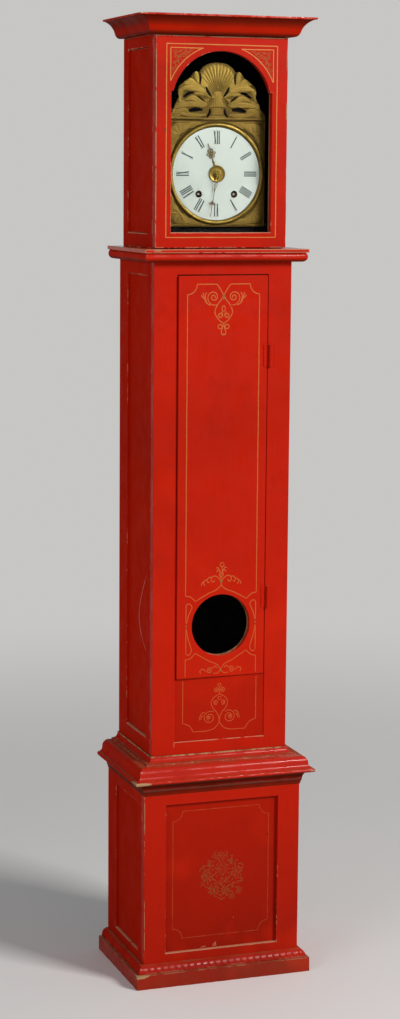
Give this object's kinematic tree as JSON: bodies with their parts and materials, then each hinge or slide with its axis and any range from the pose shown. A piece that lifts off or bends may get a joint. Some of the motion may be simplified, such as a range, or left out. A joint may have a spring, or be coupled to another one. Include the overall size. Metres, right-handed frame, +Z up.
{
  "type": "longcase clock",
  "caption": "Tall straight red-painted longcase clock with an arched glazed hood door, round enamel dial in a brass surround, hinged trunk door with a round window, weights and pendulum inside.",
  "frame": {"origin": "bottom centre of the bounding box, on the floor under the middle of the plinth", "axes": "+X to the viewer's right, +Y to the back, +Z up; the doors and the dial face -Y"},
  "size_m": [0.4688, 0.331, 2.36],
  "materials": {
    "painted_wood": "old red oil paint, worn at the edges",
    "raw_wood": "bare pine",
    "glass": "clear",
    "brass": "aged, polished on the high spots",
    "iron": "black",
    "steel": "dull",
    "enamel": "white enamel with black numerals",
    "rope": "twisted hemp"
  },
  "bodies": {
    "case": {"plinth_skirting": "painted_wood", "ripple_moulding": "painted_wood", "base_front_frame": "painted_wood", "base_front_panel": "painted_wood", "base_left_side": "painted_wood", "base_right_side": "painted_wood", "waist_moulding": "painted_wood", "trunk_front_frame": "painted_wood", "trunk_lower_panel": "painted_wood", "trunk_left_side": "painted_wood", "trunk_right_side": "painted_wood", "mid_moulding": "painted_wood", "hood_floor_board": "painted_wood", "hood_left_side": "painted_wood", "hood_right_side": "painted_wood", "cornice": "painted_wood", "base_inner_boards": "raw_wood", "back_boards": "raw_wood", "hood_top_board": "raw_wood", "movement_seat": "raw_wood", "trunk_hinge_case_leaves": "steel", "hood_hinge_case_leaves": "steel", "movement_frame": "iron", "dial_plate": "iron", "brass_surround": "brass", "brass_crest": "brass", "dial_bezel": "brass", "enamel_dial": "enamel", "bell": "brass", "time_rope": "rope", "strike_rope": "rope"},
    "hood_door": {"hood_door_frame": "painted_wood", "hood_door_glass": "glass", "hood_door_lock": "iron", "hood_hinge_door_leaves": "steel"},
    "trunk_door": {"trunk_door": "painted_wood", "porthole_glass": "glass", "porthole_retainer": "raw_wood", "trunk_hinge_door_leaves": "steel"},
    "minute": {"minute_hand": "brass", "hand_nut": "brass", "cannon_arbor": "brass"},
    "hour": {"hour_hand": "brass", "hour_wheel": "brass"},
    "motion_work": {"minute_wheel": "brass"},
    "great": {"time_great_wheel": "brass"},
    "second": {"second_wheel": "brass"},
    "third": {"third_wheel": "brass"},
    "escape": {"escape_wheel": "brass"},
    "anchor": {"anchor": "steel"},
    "pendulum": {"pendulum_rod": "steel", "pendulum_bob": "brass"},
    "time_winding": {"time_drum": "steel"},
    "strike_winding": {"strike_drum": "steel"},
    "strike_great": {"strike_great_wheel": "brass"},
    "pins": {"pin_wheel": "brass"},
    "fly": {"fly": "steel"},
    "hammer": {"hammer": "steel"},
    "time_weight": {"time_weight": "iron"},
    "strike_weight": {"strike_weight": "iron"}
  },
  "joints": [
    {"name": "hood_door_hinge", "type": "hinge", "parent": "case", "child": "hood_door", "pos_m": [0.1701, -0.0638, 1.812], "axis": [0, 0, 1], "range_deg": [0, 165]},
    {"name": "trunk_door_hinge", "type": "hinge", "parent": "case", "child": "trunk_door", "pos_m": [0.1215, -0.11185, 0.763], "axis": [0, 0, 1], "range_deg": [-1.5, 160]},
    {"name": "minute_hand_turn", "type": "hinge", "parent": "case", "child": "minute", "pos_m": [0, -0.04785, 1.9898], "axis": [0, 1, 0], "continuous": true},
    {"name": "hour_hand_turn", "type": "hinge", "parent": "case", "child": "hour", "pos_m": [0, -0.04785, 1.9898], "axis": [0, 1, 0], "continuous": true},
    {"name": "motion_wheel_turn", "type": "hinge", "parent": "case", "child": "motion_work", "pos_m": [-0.02097, -0.04785, 1.97618], "axis": [0, 1, 0], "continuous": true},
    {"name": "great_wheel_turn", "type": "hinge", "parent": "case", "child": "great", "pos_m": [0.045, -0.04785, 1.9413], "axis": [0, 1, 0], "continuous": true},
    {"name": "second_wheel_turn", "type": "hinge", "parent": "case", "child": "second", "pos_m": [0.04, -0.04785, 1.9863], "axis": [0, 1, 0], "continuous": true},
    {"name": "third_wheel_turn", "type": "hinge", "parent": "case", "child": "third", "pos_m": [0.018, -0.04785, 2.0023], "axis": [0, 1, 0], "continuous": true},
    {"name": "escape_wheel_turn", "type": "hinge", "parent": "case", "child": "escape", "pos_m": [0, -0.04785, 2.01609], "axis": [0, 1, 0], "continuous": true},
    {"name": "pendulum_swing", "type": "hinge", "parent": "case", "child": "pendulum", "pos_m": [0, 0.11008, 2.04438], "axis": [0, 1, 0], "range_deg": [-2.5, 2.5]},
    {"name": "anchor_rock", "type": "hinge", "parent": "case", "child": "anchor", "pos_m": [0, 0.08407, 2.04438], "axis": [0, 1, 0], "range_deg": [-2.5, 2.5]},
    {"name": "time_weight_fall", "type": "slide", "parent": "case", "child": "time_weight", "axis": [0, 0, -1], "range_m": [0, 1.3], "deforming": ["time_rope"]},
    {"name": "time_drum_turn", "type": "hinge", "parent": "case", "child": "time_winding", "pos_m": [0.045, -0.04785, 1.9413], "axis": [0, 1, 0], "range_deg": [-3914.95, 3914.95]},
    {"name": "strike_weight_fall", "type": "slide", "parent": "case", "child": "strike_weight", "axis": [0, 0, -1], "range_m": [0, 1.3], "deforming": ["strike_rope"]},
    {"name": "strike_drum_turn", "type": "hinge", "parent": "case", "child": "strike_winding", "pos_m": [-0.045, -0.04785, 1.9413], "axis": [0, 1, 0], "range_deg": [-3914.95, 3914.95]},
    {"name": "strike_great_turn", "type": "hinge", "parent": "case", "child": "strike_great", "pos_m": [-0.045, -0.04785, 1.9413], "axis": [0, 1, 0], "continuous": true},
    {"name": "pin_wheel_turn", "type": "hinge", "parent": "case", "child": "pins", "pos_m": [-0.04, -0.04785, 1.9863], "axis": [0, 1, 0], "continuous": true},
    {"name": "fly_turn", "type": "hinge", "parent": "case", "child": "fly", "pos_m": [-0.048, -0.04785, 2.01397], "axis": [0, 1, 0], "continuous": true},
    {"name": "hammer_swing", "type": "hinge", "parent": "case", "child": "hammer", "pos_m": [-0.0725, 0.07802, 2.093], "axis": [0, 0, -1], "range_deg": [0, 22]}
  ],
  "couplings": [
    {"joint": "hour_hand_turn", "follows": "minute_hand_turn", "ratio": 0.083333},
    {"joint": "motion_wheel_turn", "follows": "minute_hand_turn", "ratio": -0.33333},
    {"joint": "second_wheel_turn", "follows": "minute_hand_turn", "ratio": -1},
    {"joint": "great_wheel_turn", "follows": "minute_hand_turn", "ratio": 0.0625},
    {"joint": "third_wheel_turn", "follows": "minute_hand_turn", "ratio": 7.5},
    {"joint": "escape_wheel_turn", "follows": "minute_hand_turn", "ratio": -60},
    {"joint": "anchor_rock", "follows": "pendulum_swing", "ratio": 1},
    {"joint": "time_drum_turn", "follows": "time_weight_fall", "rad_per_m": 52.493},
    {"joint": "strike_drum_turn", "follows": "strike_weight_fall", "rad_per_m": -52.493},
    {"joint": "pin_wheel_turn", "follows": "strike_great_turn", "ratio": -10},
    {"joint": "fly_turn", "follows": "strike_great_turn", "ratio": 80}
  ]
}
